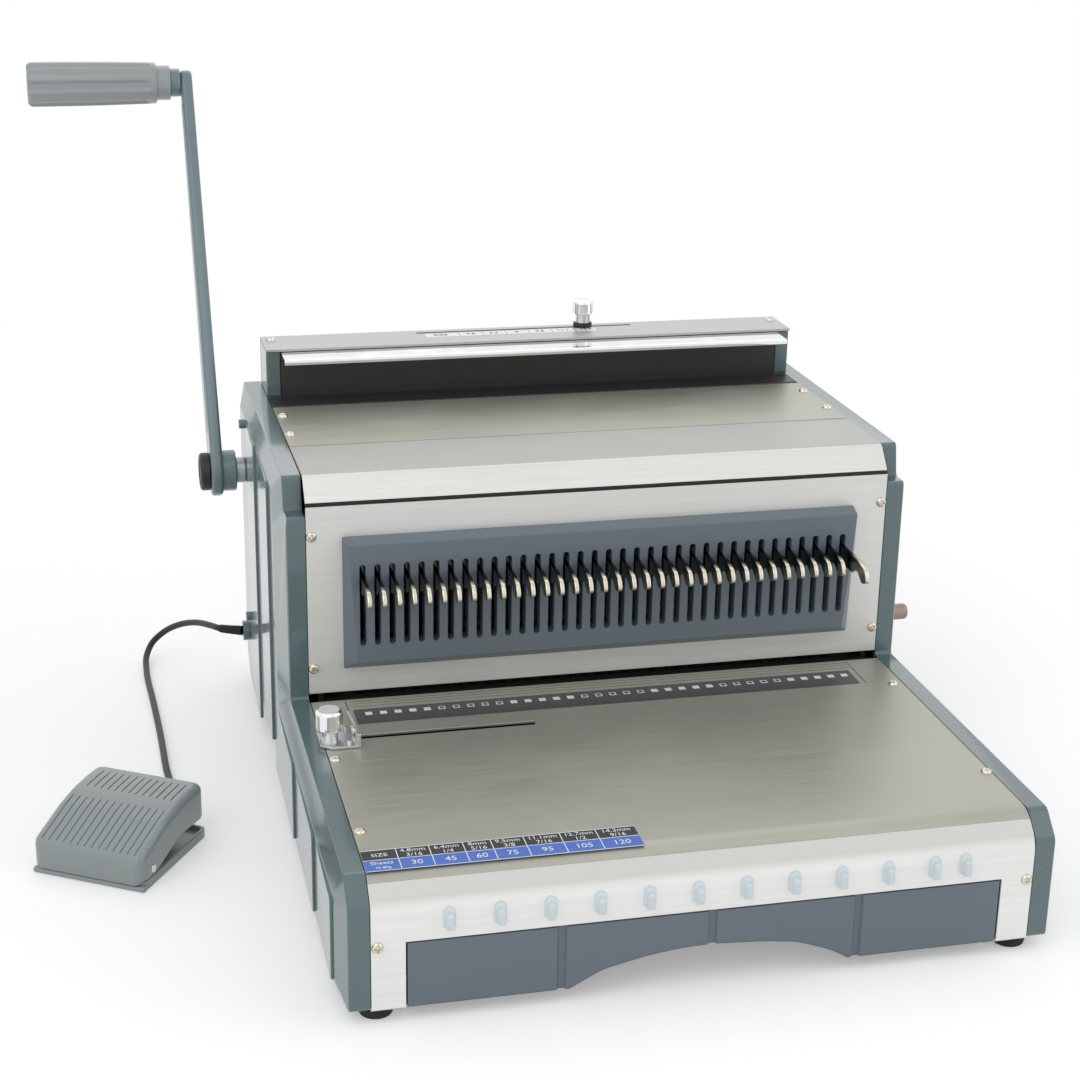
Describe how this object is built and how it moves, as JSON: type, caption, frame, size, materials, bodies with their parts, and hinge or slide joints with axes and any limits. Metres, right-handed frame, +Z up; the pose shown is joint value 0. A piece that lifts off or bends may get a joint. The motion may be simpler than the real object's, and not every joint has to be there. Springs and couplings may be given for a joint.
{
  "type": "electric wire binding machine",
  "caption": "Counter-top electric punch and twin-loop wire closer: comb plate with hanging hooks, work table, chip drawer, swing lever with turning grip, and a corded foot pedal.",
  "frame": {"origin": "centre of the footprint of machine, lever and pedal, on the surface it stands on", "axes": "+Z up, -Y towards the operator, +X to the operator's right, along the comb plate"},
  "size_m": [0.5428, 0.574, 0.4029],
  "materials": {
    "silver_sheet": "satin lacquered sheet",
    "machined_steel": "machined",
    "chrome_plate": "polished",
    "slate_cover": "fine texture",
    "slate_plastic": "fine texture",
    "black_metal": "satin black",
    "black_plastic": "matte",
    "rubber_black": "matte",
    "pale_blue_plastic": "semi-gloss",
    "grip_plastic": "matte",
    "pedal_plastic": "ribbed, matte",
    "board": "matte",
    "zinc": "cast, satin",
    "dial_metal": "knurled"
  },
  "bodies": {
    "frame": {"base_plate": "machined_steel", "left_frame_plate": "machined_steel", "right_frame_plate": "machined_steel", "die_plate": "machined_steel", "stripper_plate": "machined_steel", "motor_mount": "machined_steel", "pedal_pin": "machined_steel", "pedal_spring": "machined_steel", "foot_front_left": "rubber_black", "foot_front_right": "rubber_black", "foot_rear_left": "rubber_black", "foot_rear_right": "rubber_black", "table_panel": "silver_sheet", "front_panel": "silver_sheet", "upper_cover": "silver_sheet", "rear_cover": "silver_sheet", "closer_top_plate": "silver_sheet", "cord_gland": "slate_cover", "left_side_cover": "slate_cover", "right_side_cover": "slate_cover", "closer_end_cap_left": "slate_cover", "closer_end_cap_right": "slate_cover", "comb_plate": "slate_plastic", "closer_back_wall": "black_metal", "motor": "black_metal", "closer_lip": "chrome_plate", "power_inlet": "black_plastic", "switch_housing": "black_plastic", "pedal_switch": "black_plastic", "pedal_cord": "black_plastic", "peg_strip": "pale_blue_plastic", "pedal_base": "pedal_plastic", "control_board": "board", "shaft_bush_left": "zinc", "shaft_bush_right": "zinc", "gearbox": "zinc"},
    "lever": {"lever_shaft": "machined_steel", "shaft_collar": "zinc", "lever_arm": "slate_cover", "hub_cap": "black_plastic", "grip_pin": "machined_steel"},
    "grip": {"lever_grip": "grip_plastic"},
    "jaw": {"closing_jaw": "black_metal"},
    "hooks": {"hook_carriage": "machined_steel"},
    "hook_drive": {"carriage_shaft": "machined_steel"},
    "rod": {"coupling_rod": "machined_steel"},
    "guide": {"edge_guide": "machined_steel", "guide_nut": "zinc"},
    "guide_clamp": {"guide_knob": "chrome_plate"},
    "size_stop": {"size_slider": "machined_steel"},
    "size_clamp": {"size_knob": "chrome_plate"},
    "dial": {"depth_dial": "dial_metal"},
    "paper_stop": {"depth_stop": "machined_steel"},
    "drawer": {"chip_drawer": "slate_plastic"},
    "punch_drive": {"punch_shaft": "machined_steel", "drive_gear": "machined_steel"},
    "punch": {"punch_bar": "machined_steel"},
    "motor_drive": {"motor_pinion": "machined_steel"},
    "rocker": {"rocker_switch": "black_plastic"},
    "treadle": {"pedal_treadle": "pedal_plastic"}
  },
  "joints": [
    {"name": "lever_swing", "type": "hinge", "parent": "frame", "child": "lever", "pos_m": [-0.09632, 0.13621, 0.1578], "axis": [1, 0, 0], "range_deg": [0, 110]},
    {"name": "grip_spin", "type": "hinge", "parent": "lever", "child": "grip", "pos_m": [-0.19632, 0.27238, 0.38805], "axis": [1, 0, 0], "continuous": true},
    {"name": "jaw_lift", "type": "slide", "parent": "frame", "child": "jaw", "axis": [0, 0, 1], "range_m": [0, 0.0171]},
    {"name": "hook_slide", "type": "slide", "parent": "frame", "child": "hooks", "axis": [0, 0, 1], "range_m": [-0.0289, 0]},
    {"name": "carriage_turn", "type": "hinge", "parent": "frame", "child": "hook_drive", "pos_m": [0.06368, -0.01079, 0.16], "axis": [1, 0, 0], "range_deg": [0, 110.5]},
    {"name": "rod_swing", "type": "hinge", "parent": "lever", "child": "rod", "pos_m": [0.23568, 0.13621, 0.1378], "axis": [1, 0, 0], "range_deg": [-110.5, 0]},
    {"name": "guide_slide", "type": "slide", "parent": "frame", "child": "guide", "axis": [1, 0, 0], "range_m": [0, 0.1]},
    {"name": "guide_clamp_turn", "type": "hinge", "parent": "guide", "child": "guide_clamp", "pos_m": [-0.10682, -0.11299, 0.085], "axis": [0, 0, 1], "range_deg": [0, 180]},
    {"name": "size_slide", "type": "slide", "parent": "frame", "child": "size_stop", "axis": [1, 0, 0], "range_m": [-0.11, 0.031]},
    {"name": "size_clamp_turn", "type": "hinge", "parent": "size_stop", "child": "size_clamp", "pos_m": [0.10248, 0.15471, 0.245], "axis": [0, 0, 1], "range_deg": [0, 180]},
    {"name": "dial_turn", "type": "hinge", "parent": "frame", "child": "dial", "pos_m": [0.25368, -0.02279, 0.091], "axis": [1, 0, 0], "range_deg": [-60, 60]},
    {"name": "paper_stop_slide", "type": "slide", "parent": "frame", "child": "paper_stop", "axis": [0, 1, 0], "range_m": [-0.00235, 0.00235]},
    {"name": "drawer_slide", "type": "slide", "parent": "frame", "child": "drawer", "axis": [0, -1, 0], "range_m": [0, 0.2]},
    {"name": "punch_turn", "type": "hinge", "parent": "frame", "child": "punch_drive", "pos_m": [0.06368, 0.02421, 0.1205], "axis": [1, 0, 0], "range_deg": [0, 180]},
    {"name": "punch_drop", "type": "slide", "parent": "frame", "child": "punch", "axis": [0, 0, 1], "range_m": [-0.01205, 0]},
    {"name": "motor_turn", "type": "hinge", "parent": "frame", "child": "motor_drive", "pos_m": [0.06368, 0.0783, 0.10601], "axis": [1, 0, 0], "range_deg": [-737, 0]},
    {"name": "rocker_tilt", "type": "hinge", "parent": "frame", "child": "rocker", "pos_m": [0.13368, 0.17051, 0.045], "axis": [1, 0, 0], "range_deg": [-7, 7]},
    {"name": "pedal_press", "type": "hinge", "parent": "frame", "child": "treadle", "pos_m": [-0.23569, -0.09801, 0.01], "axis": [0.845, -0.5348, 0], "range_deg": [-6, 0], "stiffness_Nm_per_rad": 1.5, "springref_deg": 6.88, "deforming": ["pedal_spring"]}
  ],
  "couplings": [
    {"joint": "jaw_lift", "follows": "lever_swing", "m_per_rad": 0.0088548},
    {"joint": "hook_slide", "follows": "lever_swing", "m_per_rad": -0.015},
    {"joint": "carriage_turn", "follows": "lever_swing", "ratio": 1},
    {"joint": "rod_swing", "follows": "lever_swing", "ratio": -1},
    {"joint": "paper_stop_slide", "follows": "dial_turn", "m_per_rad": -0.0020675},
    {"joint": "punch_drop", "follows": "punch_turn", "m_per_rad": -0.0038197},
    {"joint": "motor_turn", "follows": "punch_turn", "ratio": -4.0909}
  ]
}
